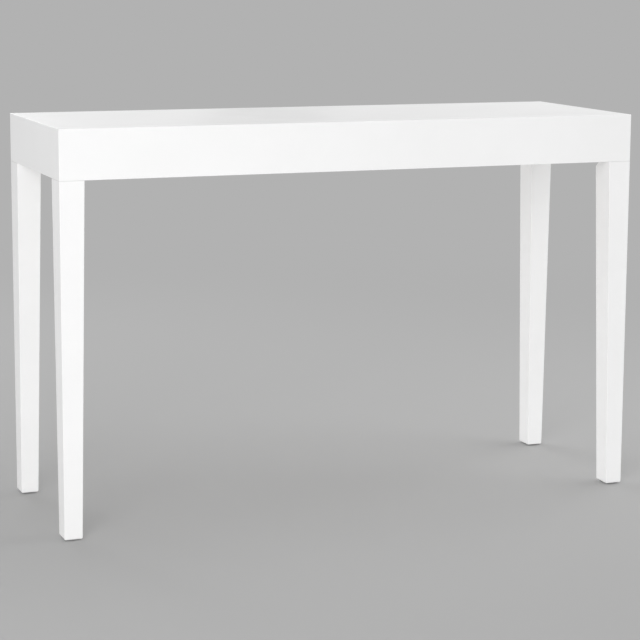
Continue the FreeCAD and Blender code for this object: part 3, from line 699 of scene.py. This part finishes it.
nylon, tree, shader, place = new_finish("glide_nylon")
scuffs = fade(tree, grain(tree, place, SCUFFS_PER_METRE, 5.0, SCUFF_LINES), 0.50, 0.70)
floor_side = fade(tree, axes_of(tree, place)[2], *FLOOR_FACE)
rubbed = reckon(tree, "MULTIPLY", scuffs, reckon(tree, "MULTIPLY_ADD", floor_side, 0.8, 0.15))
lay_on(tree, shader, blend(tree, rubbed, NYLON_PALE, NYLON_SCUFFED),
       fade(tree, rubbed, 0.0, 1.0, *NYLON_ROUGHNESS), scuffs, SCUFF_DEPTH)
shader.inputs["IOR"].default_value = NYLON_IOR
dress(nylon, "front_left_glide", "front_right_glide", "rear_left_glide", "rear_right_glide")


# One steel nail through each glide holds it to the end grain of the foot.
# It is zinc plated, with a flat head sunk below the face of the glide.
# The head keeps the slight crown and rounded rim that the nail machine gave it.

NAIL = {"Head Diameter": 5.0, "Head Height": 0.8, "Shank Diameter": 2.2, "Length": 16.0, "Stand": 0.5}
# The head from its middle outwards, as shares of its radius and height.
NAIL_CROWN = ((0.0, 0.0), (0.6, 0.06), (0.92, 0.22), (1.0, 0.5), (0.96, 1.0))
NAIL_SIDES = 32
NAIL_POINT = 2.6  # the point is this many times as long as the shank's radius

glide_low, glide_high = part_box("rear_right_glide")
glide_centre = (0.5 * (glide_low[0] + glide_high[0]), 0.5 * (glide_low[1] + glide_high[1]))
nail_seats = [((x * glide_centre[0], y * glide_centre[1], 0.0), (0.0, 0.0, 1.0)) for x, y in CORNERS]

tree, ports = sized_tree("glide_nail", NAIL)
rim, shaft = half(tree, ports["Head Diameter"]), half(tree, ports["Shank Diameter"])
low, head_height = ports["Stand"], ports["Head Height"]
tip = reckon(tree, "ADD", low, ports["Length"])
point_from = reckon(tree, "SUBTRACT", tip, reckon(tree, "MULTIPLY", shaft, NAIL_POINT))
rings = []
for share_out, share_up in NAIL_CROWN:
    rings.append((reckon(tree, "MULTIPLY", rim, share_out),
                  reckon(tree, "MULTIPLY_ADD", head_height, share_up, low)))
rings += [(shaft, reckon(tree, "ADD", low, head_height)), (shaft, point_from), (0.0, tip)]
put_on_seats(tree, ports, turned(tree, NAIL_SIDES, rings))
fasteners("sunk_nails", "glide_nails", tree, NAIL, fastener_zinc, nail_seats, 19)


# The studio: a plain grey floor that runs on into a grey background without a horizon.
# It lies a hair under the glides, so that their faces and the floor don't lie in one plane.
# From below it is clear and lets light up to the feet, so that the underside can be looked at.

FLOOR_GREY = (0.445, 0.445, 0.445)
FLOOR_BOUNCE = (0.85, 0.85, 0.85)
FLOOR_REACH = 120.0
FLOOR_LEVEL = -0.0003
HAZE_FROM = 0.8
HAZE_TO = 3.6
FOOT_GAP = 0.004  # light that starts as close as this comes from a glide's face
FIRST_BOUNCES = 1.5  # the floor is clear to it up to its first bounce

floor_mesh = bpy.data.meshes.new("floor")
floor_corners = [(-1, -1), (1, -1), (1, 1), (-1, 1)]
floor_points = [(x * FLOOR_REACH, y * FLOOR_REACH, FLOOR_LEVEL) for x, y in floor_corners]
floor_mesh.from_pydata(floor_points, [], [(0, 1, 2, 3)])
floor = bpy.data.objects.new("floor", floor_mesh)
bpy.context.scene.collection.objects.link(floor)
floor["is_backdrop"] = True


def looked_at(tree):
    """1 for what is seen straight, in a gloss or through glass, and 0 for light on its way round."""
    path = add(tree, "ShaderNodeLightPath").outputs
    in_gloss = reckon(tree, "MAXIMUM", path["Is Glossy Ray"], path["Is Transmission Ray"])
    return reckon(tree, "MAXIMUM", path["Is Camera Ray"], in_gloss)


floor_paint, tree, shader, place = new_finish("floor_paint")
tree.nodes.remove(shader)
distance = add(tree, "ShaderNodeVectorMath", {0: place}, operation="LENGTH").outputs["Value"]
wires = {"Value": distance, "From Min": HAZE_FROM, "From Max": HAZE_TO}
far = add(tree, "ShaderNodeMapRange", wires, interpolation_type="SMOOTHERSTEP").outputs[0]
paint = add(tree, "ShaderNodeBsdfDiffuse", {"Color": (*FLOOR_GREY, 1.0)}).outputs[0]
haze = add(tree, "ShaderNodeEmission", {"Color": (*FLOOR_GREY, 1.0)}).outputs[0]
shown = add(tree, "ShaderNodeMixShader", {0: far, 1: paint, 2: haze}).outputs[0]
bounce = add(tree, "ShaderNodeBsdfDiffuse", {"Color": (*FLOOR_BOUNCE, 1.0)}).outputs[0]
above = add(tree, "ShaderNodeMixShader", {0: looked_at(tree), 1: bounce, 2: shown}).outputs[0]
below = add(tree, "ShaderNodeBsdfTransparent").outputs[0]
back = add(tree, "ShaderNodeNewGeometry").outputs["Backfacing"]
path = add(tree, "ShaderNodeLightPath").outputs
from_foot = reckon(tree, "MULTIPLY", reckon(tree, "LESS_THAN", path["Ray Length"], FOOT_GAP),
                   reckon(tree, "LESS_THAN", path["Diffuse Depth"], FIRST_BOUNCES))
clear = reckon(tree, "MAXIMUM", back, from_foot)
seen = add(tree, "ShaderNodeMixShader", {0: clear, 1: above, 2: below}).outputs[0]
tree.links.new(seen, tree.nodes["Material Output"].inputs["Surface"])
floor_mesh.materials.append(floor_paint)


# Light: an even white surround, two soft lamps to the front left, one high and one low, one above
# the right end and three behind, as in a small studio. None of them shows in the picture itself.

SURROUND = 0.655
world = bpy.data.worlds.new("studio")
bpy.context.scene.world = world
world.use_nodes = True
tree = world.node_tree
tree.nodes.clear()
light = add(tree, "ShaderNodeBackground", {"Color": (1.0, 1.0, 1.0, 1.0), "Strength": SURROUND}).outputs[0]
backdrop = add(tree, "ShaderNodeBackground", {"Color": (*FLOOR_GREY, 1.0), "Strength": 1.0}).outputs[0]
mixed = add(tree, "ShaderNodeMixShader", {0: looked_at(tree), 1: light, 2: backdrop}).outputs[0]
add(tree, "ShaderNodeOutputWorld", {"Surface": mixed})


def lamp(name, place, aim, side, watts):
    """A square soft lamp that points at a place on the table."""
    data = bpy.data.lights.new(name, "AREA")
    data.shape = "SQUARE"
    data.size = side
    data.energy = watts
    piece = bpy.data.objects.new(name, data)
    turn = (Vector(aim) - Vector(place)).to_track_quat("-Z", "Y")
    piece.matrix_world = Matrix.Translation(place) @ turn.to_matrix().to_4x4()
    piece.visible_camera = False
    bpy.context.scene.collection.objects.link(piece)


lamp("key_lamp", (-3.4, -4.2, 2.2), (0.0, 0.0, 0.6), 3.0, 47.0)
lamp("low_lamp", (-2.0, -3.1, 1.15), (0.0, 0.0, 0.5), 1.8, 29.0)
lamp("right_lamp", (2.2, 0.0, 2.6), (0.4, 0.0, 0.7), 2.4, 29.5)
lamp("rear_lamp", (-0.2, 3.4, 2.0), (0.0, 0.0, 0.7), 2.4, 6.2)
lamp("high_rear_lamp", (-0.8, 3.0, 2.2), (0.0, 0.0, 0.7), 2.0, 20.4)
lamp("right_rear_lamp", (2.2, 3.0, 1.9), (0.4, 0.0, 0.75), 2.0, 2.8)


# Camera: level with the eyes of someone sitting, a few steps back and to the left of the front.
# It looks a little down, and its picture is moved sideways and up to frame the table.

CAMERA_PLACE = (-1.4676, -3.7190, 1.0855)
CAMERA_HEADING = math.radians(22.33)
CAMERA_PITCH = math.radians(8.91)
CAMERA_ROLL = math.radians(0.43)
CAMERA_LENS = 110.60
CAMERA_SENSOR = 36.0
CAMERA_SHIFT = (-0.047, -0.078)

camera_data = bpy.data.cameras.new("camera")
camera_data.lens = CAMERA_LENS
camera_data.sensor_width = CAMERA_SENSOR
camera_data.shift_x, camera_data.shift_y = CAMERA_SHIFT
camera = bpy.data.objects.new("camera", camera_data)
bpy.context.scene.collection.objects.link(camera)
heading = Matrix.Rotation(-CAMERA_HEADING, 4, "Z")
pitch = Matrix.Rotation(math.pi / 2 - CAMERA_PITCH, 4, "X")
roll = Matrix.Rotation(CAMERA_ROLL, 4, "Z")
camera.matrix_world = Matrix.Translation(CAMERA_PLACE) @ heading @ pitch @ roll
bpy.context.scene.camera = camera
bpy.context.scene.view_settings.view_transform = "Standard"


# Size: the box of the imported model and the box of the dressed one, kept side by side.
# The two are the same, because every fastener made here stays within the solid that it replaces.

low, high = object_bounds()
